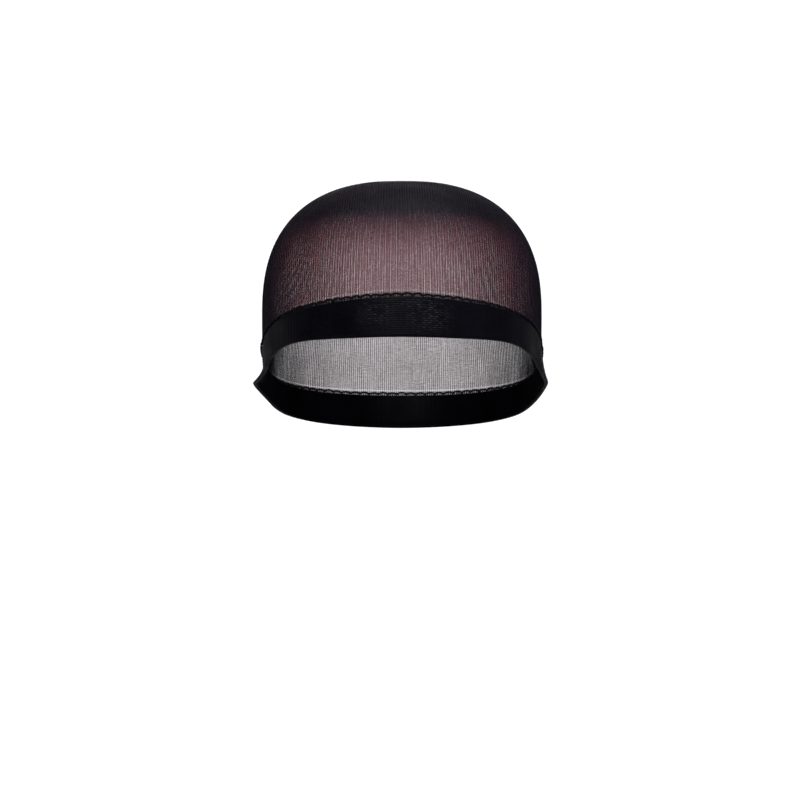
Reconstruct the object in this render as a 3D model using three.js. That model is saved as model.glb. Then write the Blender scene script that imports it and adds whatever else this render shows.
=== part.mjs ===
// A stocking wig cap, in the form it takes when it is worn: a sheer knitted crown closed by
// a short seam behind the vertex, a doubled elastic band round the head opening, and a row
// of small loops along the band's top edge.
// Millimetres, +Z up, the face side towards -Y. The origin is the middle of the head
// opening, level with the band's lower edge at the centre of the forehead.
// An azimuth is measured in degrees from the face side, through +X, to the back at 180.
import * as THREE from "three";
import { ParametricGeometry } from "three/addons/geometries/ParametricGeometry.js";
import { mergeGeometries, mergeVertices } from "three/addons/utils/BufferGeometryUtils.js";

// The head's form, to the outer face of the crown
const halfWidth = 75.8;
const frontReach = 108; // from the form's middle to the forehead
const backReach = 84; // from the form's middle to the back of the head
const widestZ = 13.3; // the level at which the form is widest
const crownRise = 73.2; // from the widest level up to the vertex
const frontRoundness = 2.2; // powers of the plan's curve, where 2 is an ellipse
const backRoundness = 2.3;
const crownRoundness = 2.5; // power of the upright curve over the sides
const foreheadRoundness = 2.4; // of the one over the forehead
const napeRoundness = 2.2; // and of the one over the back of the head
const sideTuck = 3; // how far the sides draw in at tuckDepth below the widest level
const napeTuck = 11; // how far the back draws in there
const tuckDepth = 62;

// Crown
const crownWall = 1.0;
const seamHalfAngle = 50; // half the closing seam, seen from the form's middle
const seamSetBack = 24; // tilt of the seam behind the vertex, seen from the form's middle
const seamRidge = 1.3; // height of the closing seam above the knit beside it
const seamEvenness = 0.25; // how evenly the knit is spread along the seam: 0 crowds its ends
const seamShare = 0.025; // share of the way up the crown that one side of the ridge takes
const crownColumns = 72;
const crownRows = 14;

// Band
const bandHeight = 20.5; // at the centre of the forehead
const bandProud = 0.5; // how far the band stands outside the crown's outer face
const bandWall = 1.9;
const foldSwell = 0.25; // how much the rolled lower edge is thicker, on each face
const napeDrop = 48; // from the band's edge at the forehead down to its edge at the nape
const bandColumns = 96;

// The band's lower edge and its height, from the forehead to the nape: the drop is a share
// of napeDrop and the height a share of bandHeight.
const rimStations = [
  { azimuth: 0, drop: 0.0, height: 1.01 },
  { azimuth: 16, drop: 0.014, height: 0.94 },
  { azimuth: 30, drop: 0.035, height: 0.825 },
  { azimuth: 40, drop: 0.078, height: 0.77 },
  { azimuth: 50, drop: 0.156, height: 0.76 },
  { azimuth: 60, drop: 0.25, height: 0.76 },
  { azimuth: 70, drop: 0.36, height: 0.775 },
  { azimuth: 80, drop: 0.455, height: 0.79 },
  { azimuth: 92, drop: 0.56, height: 0.8 },
  { azimuth: 106, drop: 0.71, height: 0.82 },
  { azimuth: 124, drop: 0.85, height: 0.85 },
  { azimuth: 150, drop: 0.96, height: 0.88 },
  { azimuth: 180, drop: 1.0, height: 0.9 },
];

// Where the ears' roots push the band's lower edge out: a tall, even push on the +X side
// and a low, sharp one on the other. Spread is in degrees of azimuth to each side, out is a
// share of earPush, and rise is the height above the edge over which the push dies away, as
// a share of bandHeight.
const earPush = 5.6;
const earPushes = [
  { azimuth: 82, spread: 30, out: 0.7, rise: 0.88, power: 1.8 },
  { azimuth: -82, spread: 26, out: 1.0, rise: 0.415, power: 1.5 },
];

// Shallow upright creases beside the ears. In is a share of creaseDepth. Above is the height
// of a crease's middle over the band's lower edge at the ears, and reach how far it runs up
// and down from there, both as shares of bandHeight.
const creaseDepth = 1.2;
const creases = [
  { azimuth: -70, spread: 5, in: 0.5, above: 0.73, reach: 0.78 },
  { azimuth: -84, spread: 13, in: 1.0, above: 0.39, reach: 0.54 },
  { azimuth: -93, spread: 6, in: 0.6, above: 0.73, reach: 0.98 },
  { azimuth: 74, spread: 6, in: 0.35, above: 1.02, reach: 0.78 },
  { azimuth: 95, spread: 6, in: 0.4, above: 0.63, reach: 0.88 },
];

// Loops along the band's top edge
const loopPitch = 5.3;
const loopNotch = 1.0; // between two loops, where only the foot runs on
const loopHeight = 1.7; // above the foot that joins the loops
const loopStrand = 0.6; // width of the strand round each loop's opening
const loopThickness = 0.7;
const loopFoot = 0.5;
const loopSteps = 4; // straight steps in each arch

// Clear space left between two pieces
const pieceGap = 0.3;

// Vertices nearer than this are one
const mergeDistance = 1e-4;

const middle = new THREE.Vector3(0, (frontReach - backReach) / 2, widestZ);
const radians = THREE.MathUtils.degToRad;
const degrees = THREE.MathUtils.radToDeg;

// A smooth hump that is 1 at 0 and falls to 0 at 1 and beyond.
function hump(x) {
  return Math.abs(x) < 1 ? 0.5 + 0.5 * Math.cos(Math.PI * x) : 0;
}

// How much of the back a direction faces: 0 from the face to the sides, 1 at the back.
function backShare(azimuth) {
  return Math.max(0, -Math.cos(radians(azimuth))) ** 2;
}

function frontShare(azimuth) {
  return Math.max(0, Math.cos(radians(azimuth))) ** 2;
}

// Distance from the form's upright axis to its widest outline in plan.
function planRadius(azimuth, out) {
  const forward = Math.cos(radians(azimuth));
  const power = forward > 0 ? frontRoundness : backRoundness;
  const depth = (forward > 0 ? frontReach : backReach) + out;
  const across = Math.abs(Math.sin(radians(azimuth))) / (halfWidth + out);
  return (across ** power + (Math.abs(forward) / depth) ** power) ** (-1 / power);
}

function uprightPower(azimuth) {
  const front = (foreheadRoundness - crownRoundness) * frontShare(azimuth);
  const back = (napeRoundness - crownRoundness) * backShare(azimuth);
  return crownRoundness + front + back;
}

function tuckAt(azimuth) {
  return THREE.MathUtils.lerp(sideTuck, napeTuck, backShare(azimuth));
}

// How far the ears' roots push the knit out at a place, and the creases beside them draw it
// in.
function relief(azimuth, z) {
  const aboveEars = (z - rimZ(earPushes[0].azimuth)) / bandHeight;
  let push = 0;
  for (const ear of earPushes) {
    const beside = hump(angleBetween(azimuth, ear.azimuth) / ear.spread);
    const low = THREE.MathUtils.clamp(1 - aboveEars / ear.rise, 0, 1);
    push += earPush * ear.out * beside * low ** ear.power;
  }
  for (const crease of creases) {
    const beside = hump(angleBetween(azimuth, crease.azimuth) / crease.spread);
    push -= creaseDepth * crease.in * beside * hump((aboveEars - crease.above) / crease.reach);
  }
  return push;
}

function angleBetween(azimuth, other) {
  return THREE.MathUtils.euclideanModulo(azimuth - other + 180, 360) - 180;
}

// A point moved straight out from the form's axis by the relief at its place.
function relieved(point, azimuth) {
  const push = relief(azimuth, point.z);
  point.x += push * Math.sin(radians(azimuth));
  point.y -= push * Math.cos(radians(azimuth));
  return point;
}

// The point of the form, moved out by out, at an azimuth and a height.
function formAtHeight(azimuth, z, out) {
  const widest = planRadius(azimuth, out);
  const power = uprightPower(azimuth);
  const above = Math.max(0, z - widestZ) / (crownRise + out);
  const below = Math.max(0, widestZ - z) / tuckDepth;
  const radius = widest * (1 - above ** power) ** (1 / power) - tuckAt(azimuth) * below ** 2;
  const x = middle.x + radius * Math.sin(radians(azimuth));
  const y = middle.y - radius * Math.cos(radians(azimuth));
  return new THREE.Vector3(x, y, z);
}

function azimuthOf(direction) {
  return degrees(Math.atan2(direction.x, -direction.y));
}

// The point of the form, moved out by out, in a direction from the form's middle.
function formInDirection(direction, out) {
  const azimuth = azimuthOf(direction);
  const widest = planRadius(azimuth, out);
  const power = uprightPower(azimuth);
  const level = Math.hypot(direction.x, direction.y);
  let distance;
  if (direction.z >= 0) {
    const rise = direction.z / (crownRise + out);
    distance = ((level / widest) ** power + rise ** power) ** (-1 / power);
  } else {
    const bend = tuckAt(azimuth) * (direction.z / tuckDepth) ** 2;
    distance = (2 * widest) / (level + Math.sqrt(level ** 2 + 4 * bend * widest));
  }
  return direction.clone().multiplyScalar(distance).add(middle);
}

// The rim's table read at any azimuth, on a smooth curve through its stations.
function rimValue(azimuth, column) {
  const side = Math.abs(angleBetween(azimuth, 0));
  const last = rimStations.length - 1;
  let i = 0;
  while (i < last - 1 && side > rimStations[i + 1].azimuth) i += 1;
  const from = rimStations[i];
  const to = rimStations[i + 1];
  const span = to.azimuth - from.azimuth;
  const slopeAt = (k) => {
    if (k === 0 || k === last) return 0;
    const before = rimStations[k - 1];
    const after = rimStations[k + 1];
    return (after[column] - before[column]) / (after.azimuth - before.azimuth);
  };
  const t = (side - from.azimuth) / span;
  const startSlope = slopeAt(i) * span;
  const endSlope = slopeAt(i + 1) * span;
  const rise = to[column] - from[column];
  return (
    from[column] +
    startSlope * t +
    (3 * rise - 2 * startSlope - endSlope) * t ** 2 +
    (startSlope + endSlope - 2 * rise) * t ** 3
  );
}

function rimZ(azimuth) {
  return -napeDrop * rimValue(azimuth, "drop");
}

function bandTopZ(azimuth) {
  return rimZ(azimuth) + bandHeight * rimValue(azimuth, "height");
}

// Azimuths at equal steps of length round the band's top edge, so that columns, wales and
// loops are evenly spaced along it.
const edgeSteps = 1440;
const edgeLengths = [0];
for (let step = 1; step <= edgeSteps; step += 1) {
  const from = edgePoint((360 * (step - 1)) / edgeSteps);
  const to = edgePoint((360 * step) / edgeSteps);
  edgeLengths.push(edgeLengths[step - 1] + from.distanceTo(to));
}
const edgeLength = edgeLengths[edgeSteps];

function edgePoint(azimuth) {
  return formAtHeight(azimuth, bandTopZ(azimuth), 0);
}

function azimuthAlongEdge(share) {
  const target = THREE.MathUtils.clamp(share, 0, 1) * edgeLength;
  let low = 0;
  let high = edgeSteps;
  while (high - low > 1) {
    const half = Math.floor((low + high) / 2);
    if (edgeLengths[half] <= target) low = half;
    else high = half;
  }
  const part = (target - edgeLengths[low]) / (edgeLengths[high] - edgeLengths[low]);
  return ((low + part) * 360) / edgeSteps;
}

// The direction from the form's middle in which a wale meets the closing seam. The share
// runs once round the edge, so a wale of the front and one of the back end together.
function seamDirection(share) {
  const turn = 2 * Math.PI * share;
  const even = Math.asin(Math.sin(turn)) / (Math.PI / 2);
  const spread = THREE.MathUtils.lerp(Math.sin(turn), even, seamEvenness);
  const aside = radians(seamHalfAngle) * spread;
  const back = radians(seamSetBack);
  return new THREE.Vector3(
    Math.sin(aside),
    Math.cos(aside) * Math.sin(back),
    Math.cos(aside) * Math.cos(back),
  );
}

// The seam's ridge stands full over the middle and runs out at its two ends.
function ridgeAt(share) {
  return seamRidge * Math.sqrt(Math.abs(Math.cos(2 * Math.PI * share)));
}

// A point of the crown: share is the way round, climb the way up a wale from the band (0) to
// the seam (1), and out the offset from the form there.
function crownPoint(share, climb, out) {
  const azimuth = azimuthAlongEdge(share);
  const start = formAtHeight(azimuth, bandTopZ(azimuth) + pieceGap, out);
  const direction = start.sub(middle).normalize();
  direction.lerp(seamDirection(share), climb).normalize();
  const point = formInDirection(direction, out);
  return relieved(point, azimuthOf(direction));
}

// A closed surface from a function of two shares, with its shared vertices merged.
function closedSurface(pointAt, columns, rows) {
  const place = (u, v, target) => target.copy(pointAt(u, v));
  const surface = new ParametricGeometry(place, columns, rows);
  surface.deleteAttribute("normal");
  surface.deleteAttribute("uv");
  return mergeVertices(surface, mergeDistance);
}

// The crown's wall is one sheet: up the outside from the edge to the seam, and up the
// inside, joined by the flat lower edge.
function crownGeometry() {
  const sheetRows = 2 * crownRows + 1;
  return closedSurface(
    (u, v) => {
      const row = v * sheetRows;
      const outside = row >= crownRows + 0.5;
      const rowsUp = outside ? row - crownRows - 1 : crownRows - row;
      const climb = climbOfRow(THREE.MathUtils.clamp(rowsUp / crownRows, 0, 1));
      const crest = Math.max(0, rowsUp - crownRows + 1);
      return crownPoint(u, climb, outside ? crest * ridgeAt(u) : -crownWall);
    },
    crownColumns,
    sheetRows,
  );
}

// Rows stand evenly up the crown, apart from a last narrow one that makes the seam's ridge.
function climbOfRow(rowShare) {
  const foot = (crownRows - 1) / crownRows;
  if (rowShare <= foot) return (rowShare / foot) * (1 - seamShare);
  return 1 - seamShare * ((1 - rowShare) / (1 - foot));
}

// The band's section, as shares of its height and of its wall, with a rolled lower edge.
// Face is -1 on the inner face and 1 on the outer one.
const bandSection = [
  { up: 0.0, face: 0.0, swell: 0 },
  { up: 0.035, face: 0.75, swell: 1 },
  { up: 0.13, face: 1.0, swell: 1 },
  { up: 0.24, face: 1.0, swell: 0 },
  { up: 0.6, face: 1.0, swell: 0 },
  { up: 0.97, face: 1.0, swell: 0 },
  { up: 1.0, face: 0.6, swell: 0 },
  { up: 1.0, face: -1.0, swell: 0 },
  { up: 0.6, face: -1.0, swell: 0 },
  { up: 0.24, face: -1.0, swell: 0 },
  { up: 0.06, face: -1.0, swell: 1 },
];

function bandGeometry() {
  const half = bandWall / 2;
  return closedSurface(
    (u, v) => {
      const azimuth = azimuthAlongEdge(u);
      const corner = bandSection[Math.round(v * bandSection.length) % bandSection.length];
      const swell = corner.swell * foldSwell * corner.face;
      const out = bandProud - half + corner.face * half + swell;
      const low = rimZ(azimuth);
      const z = low + corner.up * (bandTopZ(azimuth) - low);
      return relieved(formAtHeight(azimuth, z, out), azimuth);
    },
    bandColumns,
    bandSection.length,
  );
}

// One loop with its stretch of foot, flat: X along the edge, Y up and Z out of the face.
function flatLoop(pitch) {
  const half = (pitch - loopNotch) / 2;
  const outline = new THREE.Shape();
  outline.moveTo(0, 0);
  outline.lineTo(pitch, 0);
  outline.lineTo(pitch, loopFoot);
  outline.lineTo(pitch / 2 + half, loopFoot);
  outline.absellipse(pitch / 2, loopFoot, half, loopHeight, 0, Math.PI, false);
  outline.lineTo(0, loopFoot);
  outline.lineTo(0, 0);
  const opening = new THREE.Path();
  const openHalf = half - loopStrand;
  opening.absellipse(pitch / 2, loopFoot, openHalf, loopHeight - loopStrand, 0, Math.PI, false);
  opening.closePath();
  outline.holes.push(opening);
  const flat = new THREE.ExtrudeGeometry(outline, {
    depth: loopThickness,
    bevelEnabled: false,
    curveSegments: loopSteps / 2, // an elliptic arc is cut into twice as many
  });
  return openSided(flat, pitch);
}

// The same shape without its two end walls, where it meets the next loop's foot.
function openSided(flat, pitch) {
  const at = flat.getAttribute("position");
  const kept = [];
  for (let i = 0; i < at.count; i += 3) {
    const xs = [at.getX(i), at.getX(i + 1), at.getX(i + 2)];
    const onStart = xs.every((x) => Math.abs(x) < 1e-6);
    const onEnd = xs.every((x) => Math.abs(x - pitch) < 1e-6);
    if (onStart || onEnd) continue;
    for (let k = i; k < i + 3; k += 1) kept.push(at.getX(k), at.getY(k), at.getZ(k));
  }
  const open = new THREE.BufferGeometry();
  return open.setAttribute("position", new THREE.Float32BufferAttribute(kept, 3));
}

// The flat loops laid round the outside of the crown, on the band's top edge.
function loopGeometry() {
  const count = Math.round(edgeLength / loopPitch);
  const pitch = edgeLength / count;
  const copies = [];
  for (let n = 0; n < count; n += 1) {
    const copy = flatLoop(pitch);
    const at = copy.getAttribute("position");
    for (let i = 0; i < at.count; i += 1) {
      const share = (n + at.getX(i) / pitch) / count;
      const azimuth = azimuthAlongEdge(share % 1);
      const z = bandTopZ(azimuth) + pieceGap + at.getY(i);
      const point = relieved(formAtHeight(azimuth, z, pieceGap + at.getZ(i)), azimuth);
      at.setXYZ(i, point.x, point.y, point.z);
    }
    copies.push(copy);
  }
  return mergeVertices(mergeGeometries(copies), mergeDistance);
}

function cloth(color, roughness) {
  return new THREE.MeshStandardMaterial({ color, roughness, metalness: 0 });
}

const cap = new THREE.Group();
const pieces = [
  { name: "crown", geometry: crownGeometry(), material: cloth(0x1d1a21, 0.8) },
  { name: "band", geometry: bandGeometry(), material: cloth(0x0e0d13, 0.75) },
  { name: "loop_edge", geometry: loopGeometry(), material: cloth(0x0b0a10, 0.75) },
];
for (const piece of pieces) {
  const mesh = new THREE.Mesh(piece.geometry, piece.material);
  mesh.name = piece.name;
  cap.add(mesh);
}

export default cap;
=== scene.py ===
import math

import bpy
import numpy as np
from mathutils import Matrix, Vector


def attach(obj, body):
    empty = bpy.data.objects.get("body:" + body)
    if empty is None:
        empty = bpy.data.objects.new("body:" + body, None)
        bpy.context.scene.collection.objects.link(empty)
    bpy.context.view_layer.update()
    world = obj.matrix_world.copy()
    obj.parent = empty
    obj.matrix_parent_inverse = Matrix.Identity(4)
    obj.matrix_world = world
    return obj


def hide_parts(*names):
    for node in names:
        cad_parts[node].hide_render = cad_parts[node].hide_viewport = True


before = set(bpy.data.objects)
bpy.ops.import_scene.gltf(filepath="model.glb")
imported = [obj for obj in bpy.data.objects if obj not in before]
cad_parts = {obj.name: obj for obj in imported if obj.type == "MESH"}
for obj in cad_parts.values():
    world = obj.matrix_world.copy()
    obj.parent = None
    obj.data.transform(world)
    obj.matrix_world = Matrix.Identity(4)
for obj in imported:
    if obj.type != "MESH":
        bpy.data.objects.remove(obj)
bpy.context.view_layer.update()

# Metres, +Z up, the cap's front towards -Y. The origin is the middle of its opening.
# An azimuth is in degrees from the front, through +X, to the back at 180. A share
# runs once round the band's top edge, and a climb runs up a wale from the band to the seam.

wornForm = {
    "halfWidth": 0.0758,
    "frontReach": 0.108,        # from the form's middle to the front
    "backReach": 0.084,
    "widestZ": 0.0133,
    "crownRise": 0.0732,        # from the widest level up to the vertex
    "frontRoundness": 2.2,      # powers of the curves, where 2 is an ellipse
    "backRoundness": 2.3,
    "crownRoundness": 2.5,
    "foreheadRoundness": 2.4,
    "napeRoundness": 2.2,
    "sideTuck": 0.003,
    "napeTuck": 0.011,
    "tuckDepth": 0.062,
}

bandEdge = {
    "height": 0.0205,
    "napeDrop": 0.048,
    "azimuth": [0, 16, 30, 40, 50, 60, 70, 80, 92, 106, 124, 150, 180],
    "drop": [0, 0.014, 0.035, 0.078, 0.156, 0.25, 0.36, 0.455, 0.56, 0.71, 0.85, 0.96, 1.0],
    "tall": [1.01, 0.94, 0.825, 0.77, 0.76, 0.76, 0.775, 0.79, 0.8, 0.82, 0.85, 0.88, 0.9],
}

earPush = 0.0056
earPushes = [
    {"azimuth": 82, "spread": 30, "out": 0.7, "rise": 0.88, "power": 1.8},
    {"azimuth": -82, "spread": 26, "out": 1.0, "rise": 0.415, "power": 1.5},
]

creaseDepth = 0.0012
creases = [
    {"azimuth": -70, "spread": 5, "in": 0.5, "above": 0.73, "reach": 0.78},
    {"azimuth": -84, "spread": 13, "in": 1.0, "above": 0.39, "reach": 0.54},
    {"azimuth": -93, "spread": 6, "in": 0.6, "above": 0.73, "reach": 0.98},
    {"azimuth": 74, "spread": 6, "in": 0.35, "above": 1.02, "reach": 0.78},
    {"azimuth": 95, "spread": 6, "in": 0.4, "above": 0.63, "reach": 0.88},
]

closingSeam = {
    "halfAngle": 50,            # half the seam, seen from the form's middle
    "setBack": 24,              # tilt behind the vertex
    "ridge": 0.0013,
    "evenness": 0.25,
    "lateTurn": 1.9,            # how late the wales turn inwards on their way to the seam
    "holdFrom": 0.05,           # nearer to the sides than this they lean with the form
}

middle = np.array([
    0.0,
    (wornForm["frontReach"] - wornForm["backReach"]) / 2,
    wornForm["widestZ"],
])


def hump(x):
    return np.where(np.abs(x) < 1, 0.5 + 0.5 * np.cos(np.pi * np.clip(x, -1, 1)), 0.0)


def turnBetween(azimuth, other):
    return (azimuth - other + 180) % 360 - 180


def backShare(azimuth):
    return np.maximum(0, -np.cos(np.radians(azimuth))) ** 2


def frontShare(azimuth):
    return np.maximum(0, np.cos(np.radians(azimuth))) ** 2


def planRadius(azimuth, out):
    forward = np.cos(np.radians(azimuth))
    front = forward > 0
    power = np.where(front, wornForm["frontRoundness"], wornForm["backRoundness"])
    depth = np.where(front, wornForm["frontReach"], wornForm["backReach"]) + out
    across = np.abs(np.sin(np.radians(azimuth))) / (wornForm["halfWidth"] + out)
    return (across ** power + (np.abs(forward) / depth) ** power) ** (-1 / power)


def uprightPower(azimuth):
    crown = wornForm["crownRoundness"]
    front = (wornForm["foreheadRoundness"] - crown) * frontShare(azimuth)
    back = (wornForm["napeRoundness"] - crown) * backShare(azimuth)
    return crown + front + back


def tuckAt(azimuth):
    return wornForm["sideTuck"] + (wornForm["napeTuck"] - wornForm["sideTuck"]) * backShare(azimuth)


def aroundMiddle(azimuth, radius, z):
    angle = np.radians(azimuth)
    x = middle[0] + radius * np.sin(angle)
    y = middle[1] - radius * np.cos(angle)
    return np.stack(np.broadcast_arrays(x, y, z), axis=-1)


def formAtHeight(azimuth, z, out):
    power = uprightPower(azimuth)
    above = np.maximum(0, z - wornForm["widestZ"]) / (wornForm["crownRise"] + out)
    below = np.maximum(0, wornForm["widestZ"] - z) / wornForm["tuckDepth"]
    radius = planRadius(azimuth, out) * (1 - above ** power) ** (1 / power)
    return aroundMiddle(azimuth, radius - tuckAt(azimuth) * below ** 2, z)


def azimuthOf(direction):
    return np.degrees(np.arctan2(direction[..., 0], -direction[..., 1]))


def formInDirection(direction, out):
    azimuth = azimuthOf(direction)
    widest = planRadius(azimuth, out)
    power = uprightPower(azimuth)
    level = np.hypot(direction[..., 0], direction[..., 1])
    up = direction[..., 2]
    rise = np.maximum(0, up) / (wornForm["crownRise"] + out)
    above = ((level / widest) ** power + rise ** power) ** (-1 / power)
    bend = tuckAt(azimuth) * (np.minimum(0, up) / wornForm["tuckDepth"]) ** 2
    below = 2 * widest / (level + np.sqrt(level ** 2 + 4 * bend * widest))
    return middle + direction * np.where(up >= 0, above, below)[..., None]


def edgeCurve(azimuth, column):
    side = np.abs(turnBetween(azimuth, 0))
    at = np.array(bandEdge["azimuth"], float)
    value = np.array(bandEdge[column], float)
    slope = np.zeros(len(at))
    slope[1:-1] = (value[2:] - value[:-2]) / (at[2:] - at[:-2])
    i = np.clip(np.searchsorted(at, side) - 1, 0, len(at) - 2)
    span = at[i + 1] - at[i]
    t = (side - at[i]) / span
    start, end, rise = slope[i] * span, slope[i + 1] * span, value[i + 1] - value[i]
    square = (3 * rise - 2 * start - end) * t ** 2
    return value[i] + start * t + square + (start + end - 2 * rise) * t ** 3


def rimZ(azimuth):
    return -bandEdge["napeDrop"] * edgeCurve(azimuth, "drop")


def bandTopZ(azimuth):
    return rimZ(azimuth) + bandEdge["height"] * edgeCurve(azimuth, "tall")


earLevel = rimZ(np.array(earPushes[0]["azimuth"]))


def relief(azimuth, z):
    aboveEars = (z - earLevel) / bandEdge["height"]
    push = 0
    for ear in earPushes:
        beside = hump(turnBetween(azimuth, ear["azimuth"]) / ear["spread"])
        low = np.clip(1 - aboveEars / ear["rise"], 0, 1)
        push = push + earPush * ear["out"] * beside * low ** ear["power"]
    for crease in creases:
        beside = hump(turnBetween(azimuth, crease["azimuth"]) / crease["spread"])
        height = hump((aboveEars - crease["above"]) / crease["reach"])
        push = push - creaseDepth * crease["in"] * beside * height
    return push


def relieved(points, azimuth):
    push = relief(azimuth, points[..., 2])
    angle = np.radians(azimuth)
    away = np.stack([np.sin(angle), -np.cos(angle), np.zeros_like(angle)], axis=-1)
    return points + away * push[..., None]


# Azimuths at equal steps of length round the band's top edge
edgeAzimuths = np.linspace(0, 360, 1441)
edgePoints = formAtHeight(edgeAzimuths, bandTopZ(edgeAzimuths), 0)
edgeLengths = np.linalg.norm(np.diff(edgePoints, axis=0), axis=1)
edgeLengths = np.concatenate([[0], np.cumsum(edgeLengths)])
edgeLength = edgeLengths[-1]


def azimuthAlongEdge(share):
    return np.interp((share % 1) * edgeLength, edgeLengths, edgeAzimuths)


def seamDirection(share):
    turn = 2 * np.pi * share
    even = np.arcsin(np.sin(turn)) / (np.pi / 2)
    spread = np.sin(turn) + (even - np.sin(turn)) * closingSeam["evenness"]
    aside = math.radians(closingSeam["halfAngle"]) * spread
    back = math.radians(closingSeam["setBack"])
    parts = np.sin(aside), np.cos(aside) * math.sin(back), np.cos(aside) * math.cos(back)
    return np.stack(parts, axis=-1)


def crownPoint(share, climb, out):
    share, climb, out = np.broadcast_arrays(share, climb, out)
    azimuth = azimuthAlongEdge(share)
    first = formAtHeight(azimuth, bandTopZ(azimuth), out) - middle
    start = first / np.linalg.norm(first, axis=-1, keepdims=True)
    seam = seamDirection(share)
    direction = start + (seam - start) * climb[..., None]
    # in front and behind, a wale keeps its place across the cap until it nears the seam
    last = formInDirection(seam, out)[..., 0]
    late = np.clip(climb, 0, 1) ** closingSeam["lateTurn"]
    upright = first[..., 0] + (last - first[..., 0]) * late
    hold = np.clip(np.abs(first[..., 1]) / closingSeam["holdFrom"], 0, 1)
    hold = hold * hold * (3 - 2 * hold)
    reached = formInDirection(direction, out)[..., 0]
    wanted = reached + (upright - reached) * hold
    for _ in range(4):
        near = np.abs(reached) < 1e-6
        direction[..., 0] *= np.where(near, 1, wanted / np.where(near, 1, reached))
        reached = formInDirection(direction, out)[..., 0]
    return relieved(formInDirection(direction, out), azimuthOf(direction))


def crownFrame(share, climb, out):
    # a point of the crown and the form's outward direction there
    share, climb, out = np.broadcast_arrays(share, climb, out)
    point = crownPoint(share, climb, out)
    alongEdge = crownPoint(share + 0.0004, climb, out) - crownPoint(share - 0.0004, climb, out)
    upWale = crownPoint(share, climb + 0.001, out) - crownPoint(share, climb - 0.001, out)
    outward = np.cross(alongEdge, upWale)
    return point, outward / np.linalg.norm(outward, axis=-1, keepdims=True)


def slowWander(seed, share, climb, across, along, count=14):
    chance = np.random.default_rng(seed)
    total = 0
    for _ in range(count):
        turns = chance.integers(across[0], across[1]) * chance.choice([-1, 1])
        up = chance.uniform(along[0], along[1])
        phase = chance.uniform(0, 2 * np.pi)
        total = total + np.sin(2 * np.pi * (turns * share + up * climb) + phase)
    return total / math.sqrt(count / 2)


# Materials

def inputSocket(group, name, kind, default):
    socket = group.interface.new_socket(name, in_out="INPUT", socket_type=kind)
    socket.default_value = default


def makeYarnGroup():
    group = bpy.data.node_groups.new("yarnTone", "ShaderNodeTree")
    inputSocket(group, "Dark", "NodeSocketColor", (0.004, 0.004, 0.005, 1))
    inputSocket(group, "Light", "NodeSocketColor", (0.012, 0.011, 0.016, 1))
    inputSocket(group, "Patch Scale", "NodeSocketFloat", 60.0)
    inputSocket(group, "Fibre Scale", "NodeSocketFloat", 2600.0)
    inputSocket(group, "Rough Low", "NodeSocketFloat", 0.42)
    inputSocket(group, "Rough High", "NodeSocketFloat", 0.62)
    group.interface.new_socket("Color", in_out="OUTPUT", socket_type="NodeSocketColor")
    group.interface.new_socket("Roughness", in_out="OUTPUT", socket_type="NodeSocketFloat")
    group.interface.new_socket("Height", in_out="OUTPUT", socket_type="NodeSocketFloat")
    nodes, links = group.nodes, group.links
    inside = nodes.new("NodeGroupInput")
    outside = nodes.new("NodeGroupOutput")
    place = nodes.new("ShaderNodeTexCoord")
    patches = nodes.new("ShaderNodeTexNoise")
    patches.inputs["Detail"].default_value = 3
    fibres = nodes.new("ShaderNodeTexNoise")
    fibres.inputs["Detail"].default_value = 2
    both = nodes.new("ShaderNodeMath")
    both.operation = "MULTIPLY_ADD"
    both.inputs[1].default_value = 0.45
    tone = nodes.new("ShaderNodeMapRange")
    tone.inputs["From Min"].default_value = 0.45
    tone.inputs["From Max"].default_value = 1.0
    blend = nodes.new("ShaderNodeMix")
    blend.data_type = "RGBA"
    rough = nodes.new("ShaderNodeMapRange")
    for texture, scale in ((patches, "Patch Scale"), (fibres, "Fibre Scale")):
        links.new(place.outputs["Object"], texture.inputs["Vector"])
        links.new(inside.outputs[scale], texture.inputs["Scale"])
    links.new(fibres.outputs["Fac"], both.inputs[0])
    links.new(patches.outputs["Fac"], both.inputs[2])
    links.new(both.outputs["Value"], tone.inputs["Value"])
    links.new(tone.outputs["Result"], blend.inputs["Factor"])
    links.new(inside.outputs["Dark"], blend.inputs["A"])
    links.new(inside.outputs["Light"], blend.inputs["B"])
    links.new(blend.outputs["Result"], outside.inputs["Color"])
    rough.inputs["From Min"].default_value = 0.5
    rough.inputs["From Max"].default_value = 0.95
    links.new(both.outputs["Value"], rough.inputs["Value"])
    links.new(inside.outputs["Rough Low"], rough.inputs["To Min"])
    links.new(inside.outputs["Rough High"], rough.inputs["To Max"])
    links.new(rough.outputs["Result"], outside.inputs["Roughness"])
    links.new(fibres.outputs["Fac"], outside.inputs["Height"])
    return group


yarnGroup = makeYarnGroup()


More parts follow.
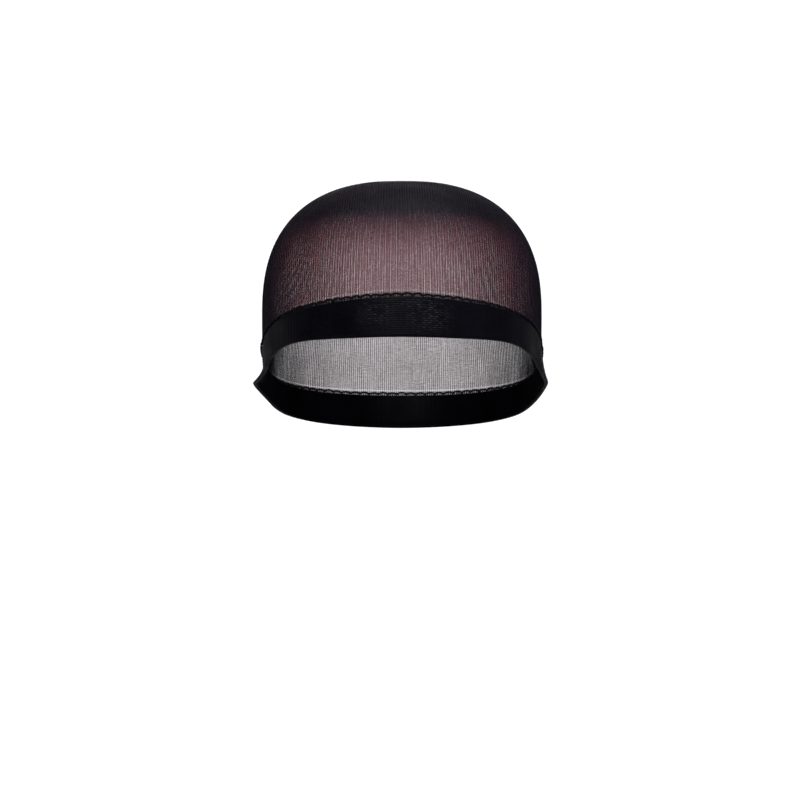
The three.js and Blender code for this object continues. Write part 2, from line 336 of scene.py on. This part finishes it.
def yarnMaterial(name, values):
    material = bpy.data.materials.new(name)
    material.use_nodes = True
    nodes, links = material.node_tree.nodes, material.node_tree.links
    shader = nodes["Principled BSDF"]
    tone = nodes.new("ShaderNodeGroup")
    tone.node_tree = yarnGroup
    for key in ("Dark", "Light", "Patch Scale", "Fibre Scale", "Rough Low", "Rough High"):
        if key in values:
            tone.inputs[key].default_value = values[key]
    bump = nodes.new("ShaderNodeBump")
    bump.inputs["Distance"].default_value = values["bump"]
    bump.inputs["Strength"].default_value = 0.6
    shader.inputs["Specular IOR Level"].default_value = values["specular"]
    shader.inputs["Sheen Weight"].default_value = values["sheen"]
    shader.inputs["Sheen Roughness"].default_value = values["sheenRoughness"]
    shader.inputs["Sheen Tint"].default_value = values["sheenTint"]
    links.new(tone.outputs["Color"], shader.inputs["Base Color"])
    links.new(tone.outputs["Roughness"], shader.inputs["Roughness"])
    links.new(tone.outputs["Height"], bump.inputs["Height"])
    links.new(bump.outputs["Normal"], shader.inputs["Normal"])
    return material


def groundMaterial(values):
    # fine filament that covers as much as its "cover" attribute says, in a diamond net with
    # streaks up the wales; where it is thin it shows a brown that is partly its own and partly
    # painted warm light, as of lit skin under the knit
    material = yarnMaterial("sheerGround", values)
    nodes, links = material.node_tree.nodes, material.node_tree.links
    shader = nodes["Principled BSDF"]
    tone = next(node for node in nodes if node.type == "GROUP")
    cover = nodes.new("ShaderNodeAttribute")
    cover.attribute_name = "cover"
    knit = nodes.new("ShaderNodeUVMap")
    knit.uv_map = "knit"
    # painted warm light: the thin ground's colour carries it, and it fades to black as the cover
    # grows
    thin = nodes.new("ShaderNodeMapRange")
    thin.inputs["From Min"].default_value = values["thinCover"]
    thin.inputs["From Max"].default_value = values["denseCover"]
    blend = nodes.new("ShaderNodeMix")
    blend.data_type = "RGBA"
    blend.inputs["A"].default_value = values["thinBrownAndWarmLight"]
    links.new(thin.outputs["Result"], blend.inputs["Factor"])
    links.new(tone.outputs["Color"], blend.inputs["B"])
    links.new(blend.outputs["Result"], shader.inputs["Base Color"])

    def placed(scale):
        mapping = nodes.new("ShaderNodeMapping")
        mapping.inputs["Scale"].default_value = scale
        links.new(knit.outputs["UV"], mapping.inputs["Vector"])
        return mapping.outputs["Vector"]

    def math2(operation, first, second):
        node = nodes.new("ShaderNodeMath")
        node.operation = operation
        for socket, value in zip(node.inputs, (first, second)):
            if isinstance(value, (int, float)):
                socket.default_value = value
            else:
                links.new(value, socket)
        return node.outputs["Value"]

    def noise(scale, detail):
        texture = nodes.new("ShaderNodeTexNoise")
        texture.inputs["Scale"].default_value = 1.0
        texture.inputs["Detail"].default_value = detail
        links.new(placed(scale), texture.inputs["Vector"])
        return math2("SUBTRACT", texture.outputs["Fac"], 0.5)

    def fade(distance, reach):
        # 1 in the middle, down to 0 at the reach
        share = math2("DIVIDE", math2("ABSOLUTE", distance, 0), reach)
        return math2("MAXIMUM", math2("SUBTRACT", 1.0, share), 0)

    apart = nodes.new("ShaderNodeSeparateXYZ")
    links.new(knit.outputs["UV"], apart.inputs["Vector"])
    wales = apart.outputs["X"]
    courses = apart.outputs["Y"]
    netAcross = math2("MULTIPLY", wales, values["netAcross"])
    netUp = math2("MULTIPLY", courses, values["netUp"])
    rising = math2("MULTIPLY", math2("ADD", netAcross, netUp), math.pi)
    falling = math2("MULTIPLY", math2("SUBTRACT", netAcross, netUp), math.pi)
    net = math2("MULTIPLY", math2("SINE", rising, 0), math2("SINE", falling, 0))
    ribs = math2("COSINE", math2("MULTIPLY", wales, 2 * math.pi), 0)
    shift = math2("MULTIPLY", net, values["net"])
    shift = math2("ADD", shift, math2("MULTIPLY", ribs, values["ribs"]))
    for scale, detail, strength in values["unevenness"]:
        shift = math2("ADD", shift, math2("MULTIPLY", noise(scale, detail), strength))
    footing = math2("MINIMUM", math2("MULTIPLY", fade(courses, values["footingReach"]), 2), 1)
    course = fade(math2("SUBTRACT", courses, values["openAt"]), values["openReach"])
    rows = math2("MULTIPLY", footing, values["footing"])
    rows = math2("ADD", rows, math2("MULTIPLY", course, values["openCourse"]))
    level = math2("MULTIPLY", cover.outputs["Fac"], math2("ADD", rows, 1.0))
    links.new(level, thin.inputs["Value"])
    covers = math2("MULTIPLY", level, math2("ADD", shift, 1.0))
    links.new(math2("MINIMUM", covers, values["mostCover"]), shader.inputs["Alpha"])
    return material


sheerGround = groundMaterial({
    "Dark": (0.0030, 0.0021, 0.0040, 1),
    "Light": (0.0075, 0.0043, 0.0090, 1),
    # the thin knit's brown, with painted warm light in it
    "thinBrownAndWarmLight": (0.104, 0.036, 0.044, 1),
    "thinCover": 0.58,          # cover up to which the brown and its painted warm light show in full
    "denseCover": 0.84,         # and from which they don't show
    "mostCover": 0.985,
    "ribs": -0.21,              # thinner between the wales
    "net": 0.45,
    "netAcross": 4,             # half diamonds to a wale
    "netUp": 2,                 # and to a course
    "unevenness": [             # scale along and up, detail and strength
        ((0.9, 0.05, 1), 2, 0.3),
        ((0.8, 0.45, 1), 1, 0.42),
        ((0.05, 0.05, 1), 2, 0.2),
    ],
    "footing": 0.68,            # denser behind the loops, for so many courses
    "footingReach": 5.0,
    "openCourse": -0.5,         # and open in a course above them
    "openAt": 6.2,
    "openReach": 1.4,
    "specular": 0.03,
    "sheen": 0.008,
    "sheenRoughness": 0.4,
    "sheenTint": (0.55, 0.5, 0.85, 1),
    "bump": 0.00003,
})

sheerNylon = yarnMaterial("sheerNylon", {
    "Dark": (0.0022, 0.0018, 0.0026, 1),
    "Light": (0.0055, 0.0042, 0.006, 1),
    "specular": 0.03,
    "sheen": 0.004,
    "sheenRoughness": 0.4,
    "sheenTint": (0.55, 0.5, 0.85, 1),
    "bump": 0.00003,
})

def bandMaterial(values):
    # painted highlight: broken pale dashes on the rib crests at the band's front, where the key
    # light catches it
    material = yarnMaterial("elasticKnit", values)
    nodes, links = material.node_tree.nodes, material.node_tree.links
    tone = next(node for node in nodes if node.type == "GROUP")
    ribHighlight = nodes.new("ShaderNodeAttribute")
    ribHighlight.attribute_name = "ribHighlight"
    blend = nodes.new("ShaderNodeMix")
    blend.data_type = "RGBA"
    blend.inputs["B"].default_value = values["highlightColor"]
    links.new(ribHighlight.outputs["Fac"], blend.inputs["Factor"])
    links.new(tone.outputs["Color"], blend.inputs["A"])
    links.new(blend.outputs["Result"], nodes["Principled BSDF"].inputs["Base Color"])
    return material


elasticKnit = bandMaterial({
    "highlightColor": (0.020, 0.021, 0.024, 1),
    "Dark": (0.0006, 0.0006, 0.0011, 1),
    "Light": (0.0015, 0.0015, 0.0026, 1),
    "Rough Low": 0.3,
    "Rough High": 0.52,
    "specular": 0.013,
    "sheen": 0.0006,
    "sheenRoughness": 0.35,
    "sheenTint": (0.55, 0.55, 0.85, 1),
    "bump": 0.00001,
})

twistedYarn = yarnMaterial("twistedYarn", {
    "Dark": (0.0010, 0.0009, 0.0015, 1),
    "Light": (0.0026, 0.0023, 0.0036, 1),
    "specular": 0.025,
    "sheen": 0.001,
    "sheenRoughness": 0.35,
    "sheenTint": (0.55, 0.55, 0.85, 1),
    "bump": 0.00003,
})
print("materials made")


# Making and finishing pieces

def deselectAll():
    for thing in bpy.context.selected_objects:
        thing.select_set(False)


def selectOnly(thing):
    deselectAll()
    thing.select_set(True)
    bpy.context.view_layer.objects.active = thing


def newPiece(name, points, faces):
    mesh = bpy.data.meshes.new(name)
    mesh.from_pydata(points.reshape(-1, 3).tolist(), [], faces)
    piece = bpy.data.objects.new(name, mesh)
    bpy.context.scene.collection.objects.link(piece)
    selectOnly(piece)
    bpy.ops.object.shade_smooth()
    return piece


def knitThreads(name, lines, outward, width, height, closed):
    # lines holds each thread's middle points on its foot, and its section stands on that as
    # a narrow ridge that points out of the knit
    count, steps = lines.shape[:2]
    if closed:
        forward = np.roll(lines, -1, axis=1) - np.roll(lines, 1, axis=1)
    else:
        forward = np.gradient(lines, axis=1)
    side = np.cross(forward, outward)
    side = side / np.linalg.norm(side, axis=-1, keepdims=True)
    half = width[..., None] / 2 * side
    points = np.stack([lines + half, lines + height[..., None] * outward, lines - half], axis=2)
    number = np.arange(count * steps * 3).reshape(count, steps, 3)
    if closed:
        here, there = number, np.roll(number, -1, axis=1)
    else:
        here, there = number[:, :-1], number[:, 1:]
    around = np.roll(here, -1, axis=2), np.roll(there, -1, axis=2)
    faces = np.stack([here, there, around[1], around[0]], axis=-1).reshape(-1, 4).tolist()
    if not closed:
        faces += number[:, 0, :].tolist() + number[:, -1, ::-1].tolist()
    return newPiece(name, points, faces)


def roundThreads(name, lines, radii, closed, roundness=1):
    # each line is a thread's middle, and the radius at each of its points is the thread's
    yarns = bpy.data.curves.new(name, "CURVE")
    yarns.dimensions = "3D"
    yarns.bevel_depth = 1.0
    yarns.bevel_resolution = roundness
    yarns.use_fill_caps = True
    for line, radius in zip(lines, radii):
        spline = yarns.splines.new("POLY")
        spline.points.add(len(line) - 1)
        spline.points.foreach_set("co", np.c_[line, np.ones(len(line))].ravel())
        spline.points.foreach_set("radius", np.broadcast_to(radius, len(line)).copy())
        spline.use_cyclic_u = closed
    piece = bpy.data.objects.new(name, yarns)
    bpy.context.scene.collection.objects.link(piece)
    selectOnly(piece)
    bpy.ops.object.convert(target="MESH")
    bpy.ops.object.shade_smooth()
    return piece


def finishPiece(piece, material, replaced=()):
    piece.data.materials.clear()
    piece.data.materials.append(material)
    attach(piece, "root")
    if replaced:
        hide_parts(*replaced)
    piece.data.calc_loop_triangles()
    print(piece.name, len(piece.data.loop_triangles), "triangles")


# Crown: a sheer ground of fine filament, with the wales' legs standing on its outside and
# the courses crossing its inside
crownKnit = {
    # between wales, from the front round the sides to the back
    "pitchAzimuth": [0, 25, 45, 60, 80, 110, 180],
    "pitch": [0.00142, 0.0016, 0.0019, 0.0021, 0.0019, 0.0014, 0.00116],
    "legSpread": 0.125,         # from a wale's middle to each leg, as a share of the pitch
    "backSpread": 0.2,
    "legWidth": 0.00012,
    "legHeight": 0.00024,
    "legDepth": -0.00022,       # a leg's foot, from the form
    "legSteps": 38,
    "tuckedIn": 0.006,          # how far a wale's lower end reaches into the band, as climb
    "waleWander": 0.14,         # of a pitch, shared by neighbours
    "wavesAround": (4, 30),
    "wavesUp": (-2.0, 2.0),
    "legWander": 0.06,          # of a pitch, each leg by itself
    "legWaves": (0.7, 1.6, 3.1),
    "settleOver": 0.125,        # the last share of the climb, where the wander dies away
    "thickestLeg": 0.3,         # of the way to the next wale
    "courses": 204,
    "courseWidth": 0.00007,
    "courseHeight": 0.00013,
    "courseDepth": -0.00042,
    "courseSteps": 160,
    "openCourse": 0.016,        # climb of the first course above the band
    "closerAtTop": 0.62,        # the courses' pitch at the seam, as a share of the lowest
    "courseWander": 0.3,        # of a course's pitch, each course by itself
    "lastCourse": 0.996,
    "groundDepth": -0.0003,
    "groundTuck": 0.012,        # how far the ground reaches into the band, as climb
    "groundColumns": 320,
    "groundRows": 84,
}

# How much the ground covers, by place: least where the knit is stretched most; the rise towards the
# sides and over the top is partly slacker knit and partly painted shade, as of a head under it
# turning from the light
groundCover = {
    "front": 0.585,
    "back": 0.61,
    "sides": 0.92,
    "towardsSides": 3.4,        # power of the fall-off across the cap
    "sideDepth": 0.03,          # from the middle, how far forward and back the sides reach
    "slackFrom": 0.042,         # heights between which the knit slackens over the top and the painted shade deepens
    "slackTo": 0.079,
    "slackAndShade": 0.945,
}


def countWales():
    # how many wales stand before each share of the edge; they are closer at the back
    values = crownKnit
    share = np.linspace(0, 1, 2001)
    side = np.abs(turnBetween(azimuthAlongEdge(share), 0))
    side[-1] = side[0]
    pitch = np.interp(side, values["pitchAzimuth"], values["pitch"])
    wales = np.concatenate([[0], np.cumsum(edgeLength / 2000 * 2 / (pitch[1:] + pitch[:-1]))])
    return share, wales * round(wales[-1]) / wales[-1], pitch / edgeLength


waleShares, waleNumbers, walePitches = countWales()


def waleLegs():
    values = crownKnit
    place = np.interp(np.arange(round(waleNumbers[-1])) + 0.5, waleNumbers, waleShares)
    pitch = np.interp(place, waleShares, walePitches)
    side = np.abs(turnBetween(azimuthAlongEdge(place), 0))
    spread = np.interp(side, [90, 130], [values["legSpread"], values["backSpread"]])[:, None]
    climb = np.linspace(-values["tuckedIn"], 1.0, values["legSteps"] + 1)[None, :]
    settle = np.clip((1 - climb) / values["settleOver"], 0, 1)
    drift = slowWander(3, place[:, None], climb, values["wavesAround"], values["wavesUp"])
    drift = drift * values["waleWander"]
    chance = np.random.default_rng(11)
    lines, outwards, widths = [], [], []
    for side in (-1, 1):
        alone = np.zeros((len(place), 1))
        for waves in values["legWaves"]:
            phase = chance.uniform(0, 2 * np.pi, (len(place), 1))
            alone = alone + np.sin(2 * np.pi * waves * climb + phase) / 1.7
        moved = side * spread + (drift + alone * values["legWander"]) * settle
        share = place[:, None] + moved * pitch[:, None]
        line, outward = crownFrame(share, climb, values["legDepth"])
        lines.append(line)
        outwards.append(outward)
    line = np.stack(lines, axis=1).reshape(-1, *lines[0].shape[1:])
    outward = np.stack(outwards, axis=1).reshape(line.shape)
    spacing = np.linalg.norm(np.roll(line, -2, axis=0) - line, axis=-1)
    return line, outward, np.minimum(values["legWidth"], values["thickestLeg"] * spacing)


def courseRings():
    values = crownKnit
    steps = np.linspace(1, values["closerAtTop"], values["courses"])
    climbs = np.cumsum(steps)
    climbs = (climbs - climbs[0]) / (climbs[-1] - climbs[0])
    climbs = values["openCourse"] + climbs * (values["lastCourse"] - values["openCourse"])
    share = np.arange(values["courseSteps"])[None, :] / values["courseSteps"]
    climb = climbs[:, None] + 0 * share
    chance = np.random.default_rng(5)
    drift = 0
    for _ in range(5):
        turns = chance.integers(8, 80, (values["courses"], 1))
        phase = chance.uniform(0, 2 * np.pi, (values["courses"], 1))
        drift = drift + np.sin(2 * np.pi * turns * share + phase) / 1.6
    climb = climb + drift * values["courseWander"] * steps[:, None] / steps.sum()
    climb = np.minimum(climb, 0.998)
    line, outward = crownFrame(share, climb, values["courseDepth"])
    return line, outward


def coverAt(points):
    # denser, so darker, towards the sides and over the top: partly slacker knit, partly painted
    # shade
    values = groundCover
    side = np.clip(np.abs(points[..., 0]) / wornForm["halfWidth"], 0, 1)
    level = np.where(points[..., 1] < 0, values["front"], values["back"])
    depth = np.clip(np.abs(points[..., 1]) / values["sideDepth"], 0, 1)
    level = values["sides"] + (level - values["sides"]) * depth * depth * (3 - 2 * depth)
    level = level + (values["sides"] - level) * side ** values["towardsSides"]
    t = (points[..., 2] - values["slackFrom"]) / (values["slackTo"] - values["slackFrom"])
    t = np.clip(t, 0, 1)
    return level + (values["slackAndShade"] - level) * t * t * (3 - 2 * t)


def groundPiece():
    values = crownKnit
    columns, rows = values["groundColumns"], values["groundRows"]
    share = np.arange(columns)[:, None] / columns
    lowest = -values["groundTuck"]
    climb = np.linspace(lowest, 1.0, rows + 1)[None, :]
    points = crownPoint(share, climb, values["groundDepth"])
    number = np.arange(columns * (rows + 1)).reshape(columns, rows + 1)
    after = np.roll(number, -1, axis=0)
    faces = np.stack([number[:, :-1], after[:, :-1], after[:, 1:], number[:, 1:]], axis=-1)
    piece = newPiece("knitGround", points, faces.reshape(-1, 4).tolist())
    mesh = piece.data
    cover = mesh.attributes.new("cover", "FLOAT", "POINT")
    cover.data.foreach_set("value", coverAt(points).ravel())
    # the map counts wales along it and courses up it
    knit = mesh.uv_layers.new(name="knit")
    across = (np.arange(columns)[:, None, None] + np.array([0, 1, 1, 0])) / columns
    across = np.interp(across, waleShares, waleNumbers)
    up = (np.arange(rows)[None, :, None] + np.array([0, 0, 1, 1])) / rows
    up = (lowest + (1 - lowest) * up) * values["courses"]
    across, up = np.broadcast_arrays(across, up)
    knit.data.foreach_set("uv", np.stack([across, up], axis=-1).ravel())
    return piece


ground = groundPiece()
finishPiece(ground, sheerGround, ["crown"])
legs, legsOut, legWidth = waleLegs()
legHeight = np.full(legWidth.shape, crownKnit["legHeight"])
halfLegs = len(legs) // 2
for name, part in (("knitWalesLeft", slice(0, halfLegs)), ("knitWalesRight", slice(halfLegs, None))):
    wales = knitThreads(name, legs[part], legsOut[part], legWidth[part], legHeight[part], False)
    finishPiece(wales, sheerNylon)

rings, ringsOut = courseRings()
courseWidth = np.full(rings.shape[:2], crownKnit["courseWidth"])
courseHeight = np.full(rings.shape[:2], crownKnit["courseHeight"])
courses = knitThreads("knitCourses", rings, ringsOut, courseWidth, courseHeight, True)
finishPiece(courses, sheerNylon)
print("crown knitted:", len(legs) // 2, "wales and", len(rings), "courses")


# Band: a doubled elastic welt with level ribs, rolled over at its lower edge
bandKnit = {
    "proud": 0.0005,            # its outer face, from the form
    "wall": 0.0019,
    "foldSwell": 0.00025,
    "swellHeight": 0.0045,
    "walePitch": 0.0014,
    "ribs": 17,
    "ribHeight": 0.00034,
    "waleHeight": 0.00007,      # of the upright ribs, two wales to each
    "highlightSpots": [             # where the painted highlights lie, up as a share of the band
        {"azimuth": -7.5, "spread": 6, "up": 0.62, "reach": 0.6, "strength": 0.75},
        {"azimuth": 1.5, "spread": 9, "up": 0.82, "reach": 0.3, "strength": 0.4},
        {"azimuth": 7.5, "spread": 7.5, "up": 0.55, "reach": 0.75, "strength": 1.0},
    ],
    "rowsPerRib": 5,
    "innerRowsPerRib": 2,
    "foldRows": 8,
}


def cordRib(turns):
    # a rounded rib between sharp furrows, from -1 to 1
    return 2 * math.sqrt(abs(math.sin(math.pi * turns))) - 1


def bandSection():
    # from the top of the outer face down, round the fold, and up the inner face:
    # height over the lower edge (in metres, and as a share of the rest), out, and rib
    values = bandKnit
    half = values["wall"] / 2
    centre = values["proud"] - half
    fold = half + values["foldSwell"]
    rows = []
    outerRows = values["ribs"] * values["rowsPerRib"]
    for row in range(outerRows + 1):
        up = 1 - row / outerRows
        rows.append((fold, up, centre + half, cordRib(up * values["ribs"]), 1))
    for row in range(1, values["foldRows"]):
        turn = math.pi * row / values["foldRows"]
        rows.append((fold - fold * math.sin(turn), 0, centre + fold * math.cos(turn), 0, 0))
    innerRows = values["ribs"] * values["innerRowsPerRib"]
    for row in range(innerRows + 1):
        up = row / innerRows
        rows.append((fold, up, centre - half, cordRib(up * values["ribs"]), -1))
    return np.array(rows)


def bandSurface():
    values = bandKnit
    section = bandSection()
    columns = 3 * round(edgeLength / values["walePitch"] / 2)
    share = (np.arange(columns) + 0.5)[:, None] / columns
    azimuth = azimuthAlongEdge(share)
    low = rimZ(azimuth)
    high = bandTopZ(azimuth)
    base, up, out, rib, face = section.T[:, None, :]
    z = low + base + up * (high - low - base)
    swell = values["foldSwell"] * hump((z - low) / values["swellHeight"]) * np.abs(face)
    wale = np.cos(2 * np.pi * np.arange(columns) / 3)[:, None]
    knit = rib * (0.6 + 0.4 * wale) * values["ribHeight"] / 2
    knit = knit + wale * values["waleHeight"] * np.abs(face)
    edge = np.clip((1 - up) * 20, 0, 1)
    place = out + (swell + knit * edge) * face
    azimuth, z, place = np.broadcast_arrays(azimuth, z, place)
    points = relieved(formAtHeight(azimuth, z, place), azimuth)
    return points, paintedHighlights(azimuth, up, face)


def paintedHighlights(azimuth, up, face):
    # how strong the painted highlight is: dashes two columns long on the rib crests, some of them
    # missing
    values = bandKnit
    column = np.arange(len(azimuth))[:, None]
    ribNumber = np.minimum(np.floor(up * values["ribs"]), values["ribs"] - 1).astype(int)
    onRib = np.abs(up * values["ribs"] - ribNumber - 0.5) < 0.2
    chance = np.random.default_rng(17)
    shown = chance.uniform(0, 1, (len(azimuth) // 3 + 2, values["ribs"]))
    shifted = column + ribNumber % 2
    dash = np.where(shifted % 3 < 2, np.clip(shown[shifted // 3 % len(shown), ribNumber], 0, 1), 0)
    total = 0
    for spot in values["highlightSpots"]:
        beside = hump(turnBetween(azimuth, spot["azimuth"]) / spot["spread"]) ** 0.6
        total = total + spot["strength"] * beside * hump((up - spot["up"]) / spot["reach"])
    return np.where((face > 0) & onRib, np.clip(total, 0, 1) * dash, 0)


def closedGrid(name, points):
    # columns run once round, and rows run once round the section
    columns, rows = points.shape[:2]
    number = np.arange(columns * rows).reshape(columns, rows)
    after = np.roll(number, -1, axis=0)
    corners = [number, after, np.roll(after, -1, axis=1), np.roll(number, -1, axis=1)]
    return newPiece(name, points, np.stack(corners, axis=-1).reshape(-1, 4).tolist())


bandPoints, highlightShares = bandSurface()
elasticBand = closedGrid("elasticBand", bandPoints)
# the painted highlight on the rib crests, kept on the band's points
ribHighlight = elasticBand.data.attributes.new("ribHighlight", "FLOAT", "POINT")
ribHighlight.data.foreach_set("value", highlightShares.ravel())
finishPiece(elasticBand, elasticKnit, ["band"])
print("band knitted")


# Looped edge: one two-ply yarn that rises in an arch and dips back to the band
loopEdge = {
    "pitch": 0.0053,
    "height": 0.00165,
    "plyWidth": 0.00064,
    "twistRadius": 0.00026,
    "twistsPerLoop": 3,
    "steps": 22,                # points in each loop
    "out": 0.00075,
    "lift": 0.0001,             # over the band's top edge
    "squareness": 0.45,
    "heights": (0.76, 1.08),    # shortest and tallest loop, as shares of the height
    "lean": 0.05,               # of a pitch
}


def loopPlies():
    values = loopEdge
    count = round(edgeLength / values["pitch"])
    along = np.arange(count * values["steps"]) / values["steps"]
    chance = np.random.default_rng(23)
    tall = chance.uniform(*values["heights"], count)
    lean = chance.uniform(-values["lean"], values["lean"], count)
    number = np.floor(along).astype(int)
    within = along - number
    arch = np.abs(np.sin(np.pi * within)) ** values["squareness"]
    share = (along + lean[number] * np.sin(np.pi * within)) / count
    azimuth = azimuthAlongEdge(share)
    z = bandTopZ(azimuth) + values["lift"] + values["height"] * arch * tall[number]
    centre = relieved(formAtHeight(azimuth, z, values["out"]), azimuth)
    away = relieved(formAtHeight(azimuth, z, values["out"] + 0.001), azimuth) - centre
    away = away / np.linalg.norm(away, axis=1, keepdims=True)
    along3 = np.roll(centre, -1, axis=0) - np.roll(centre, 1, axis=0)
    along3 = along3 / np.linalg.norm(along3, axis=1, keepdims=True)
    aside = np.cross(away, along3)
    aside = aside / np.linalg.norm(aside, axis=1, keepdims=True)
    plies = []
    for start in (0, math.pi):
        turn = (2 * math.pi * values["twistsPerLoop"] * along + start)[:, None]
        plies.append(centre + values["twistRadius"] * (np.cos(turn) * away + np.sin(turn) * aside))
    return plies


plyRadii = [loopEdge["plyWidth"] / 2] * 2
loopTrim = roundThreads("loopTrim", loopPlies(), plyRadii, closed=True)
finishPiece(loopTrim, twistedYarn, ["loop_edge"])
print("loops laid")


# Closing seam: the gathered ends of the wales under an overlocked cord
seamCord = {
    "width": 0.0016,
    "steps": 160,
    "reach": 0.985,             # of half the seam
    "pucker": 0.1,              # of the cord's thickness
    "stitchPitch": 0.0021,
    "stitchWidth": 0.00034,
    "stitchSteps": 10,
    "stitchReach": 0.98,
    "stitchSpread": 1.25,       # wider than tall
    "thinnestEnd": 0.15,
}


def seamLine(along):
    # along runs from -1 at the right end to 1 at the left one
    share = along * 0.25
    ridge = closingSeam["ridge"] * np.sqrt(np.abs(np.cos(2 * np.pi * share)))
    return crownPoint(share, 1.0, ridge * 0.5)


def seamTaper(along):
    return np.sqrt(np.clip(1 - along ** 4, seamCord["thinnestEnd"], 1))


def seamPieces():
    values = seamCord
    along = np.linspace(-values["reach"], values["reach"], values["steps"])
    line = seamLine(along)
    chance = np.random.default_rng(31)
    pucker = 1 + values["pucker"] * chance.uniform(-1, 1, values["steps"])
    radius = values["width"] / 2 * pucker * seamTaper(along)
    cord = roundThreads("seamCord", [line], [radius], closed=False, roundness=2)
    length = np.linalg.norm(np.diff(line, axis=0), axis=1).sum()
    turns = round(length / values["stitchPitch"])
    stitchReach = values["stitchReach"]
    fine = np.linspace(-stitchReach, stitchReach, turns * values["stitchSteps"] + 1)
    centre = seamLine(fine)
    forward = np.gradient(centre, axis=0)
    forward = forward / np.linalg.norm(forward, axis=1, keepdims=True)
    up = centre - middle
    side = np.cross(forward, up)
    side = side / np.linalg.norm(side, axis=1, keepdims=True)
    up = np.cross(side, forward)
    turn = (2 * np.pi * np.arange(len(fine)) / values["stitchSteps"])[:, None]
    reach = values["width"] / 2 + values["stitchWidth"] * 0.3
    reach = reach * seamTaper(fine)[:, None]
    helix = centre + reach * (np.cos(turn) * side * values["stitchSpread"] + np.sin(turn) * up)
    stitch = roundThreads("seamStitch", [helix], [values["stitchWidth"] / 2], closed=False)
    return cord, stitch


for piece in seamPieces():
    finishPiece(piece, twistedYarn)
print("seam sewn")


# Stage: a pale floor that curves up into walls
studio = {
    "floorZ": -0.75,
    "floorRadius": 2.4,
    "coveRadius": 1.0,
    "coveSteps": 12,
    "wallTop": 3.0,
    "white": 0.75,
    "glow": 0.52,               # seen from the camera and through the knit, lighting nothing
    "sky": 0.5,
}


def makeStudio():
    values = studio
    floorZ, floorRadius, coveRadius = values["floorZ"], values["floorRadius"], values["coveRadius"]
    points = [Vector((0, 0, floorZ)), Vector((floorRadius, 0, floorZ))]
    for step in range(1, values["coveSteps"] + 1):
        turn = math.pi / 2 * step / values["coveSteps"]
        rise = coveRadius * (1 - math.cos(turn))
        points.append(Vector((floorRadius + coveRadius * math.sin(turn), 0, floorZ + rise)))
    points.append(Vector((points[-1].x, 0, values["wallTop"])))
    mesh = bpy.data.meshes.new("studioFloor")
    mesh.from_pydata(points, [(i, i + 1) for i in range(len(points) - 1)], [])
    floor = bpy.data.objects.new("studioFloor", mesh)
    bpy.context.scene.collection.objects.link(floor)
    selectOnly(floor)
    bpy.ops.object.mode_set(mode="EDIT")
    bpy.ops.mesh.select_all(action="SELECT")
    bpy.ops.mesh.spin(steps=96, angle=2 * math.pi, center=(0, 0, 0), axis=(0, 0, 1))
    bpy.ops.mesh.select_all(action="SELECT")
    bpy.ops.mesh.remove_doubles(threshold=0.0005)
    bpy.ops.mesh.normals_make_consistent(inside=True)
    bpy.ops.object.mode_set(mode="OBJECT")
    bpy.ops.object.shade_smooth()
    paint = bpy.data.materials.new("studioPaint")
    paint.use_nodes = True
    shader = paint.node_tree.nodes["Principled BSDF"]
    shader.inputs["Base Color"].default_value = (values["white"],) * 3 + (1,)
    shader.inputs["Roughness"].default_value = 0.9
    shader.inputs["Specular IOR Level"].default_value = 0.1
    shader.inputs["Emission Color"].default_value = (1, 1, 1, 1)
    rays = paint.node_tree.nodes.new("ShaderNodeLightPath")
    glow = paint.node_tree.nodes.new("ShaderNodeMath")
    glow.operation = "MULTIPLY"
    glow.inputs[1].default_value = values["glow"]
    paint.node_tree.links.new(rays.outputs["Is Camera Ray"], glow.inputs[0])
    paint.node_tree.links.new(glow.outputs["Value"], shader.inputs["Emission Strength"])
    mesh.materials.append(paint)
    world = bpy.data.worlds.new("studioSky")
    world.use_nodes = True
    world.node_tree.nodes["Background"].inputs["Color"].default_value = (1, 1, 1, 1)
    world.node_tree.nodes["Background"].inputs["Strength"].default_value = values["sky"]
    bpy.context.scene.world = world


def softLight(name, place, size, power, color=(1, 1, 1)):
    bpy.ops.object.light_add(type="AREA", location=place)
    lamp = bpy.context.object
    lamp.name = name
    lamp.data.shape = "DISK"
    lamp.data.size = size
    lamp.data.energy = power
    lamp.data.color = color
    lamp.rotation_euler = (Vector((0, 0, 0.02)) - Vector(place)).to_track_quat("-Z", "Y").to_euler()
    return lamp


makeStudio()
softLight("keyLight", (-0.12, -1.85, 0.72), 0.55, 58)
softLight("coolLight", (1.5, -0.5, 0.7), 0.9, 16, (0.72, 0.74, 1.0))
softLight("topLight", (0.1, 0.5, 1.8), 1.0, 8, (0.8, 0.82, 1.0))

# Camera: level, in front of the cap, with 0.54 mm to a pixel at the cap's middle
view = {
    "distance": 1.6,
    "height": -0.032,
    "aside": -0.001,
    "pixel": 0.00054,
    "picture": 800,
    "sensor": 36.0,
}
bpy.ops.object.camera_add(location=(view["aside"], -view["distance"], view["height"]))
camera = bpy.context.object
camera.rotation_euler = (math.pi / 2, 0, 0)
camera.data.sensor_width = view["sensor"]
camera.data.lens = view["sensor"] * view["distance"] / (view["pixel"] * view["picture"])
camera.data.clip_start = 0.01
camera.data.clip_end = 50
bpy.context.scene.camera = camera
bpy.context.scene.view_settings.view_transform = "Standard"
print("studio set")
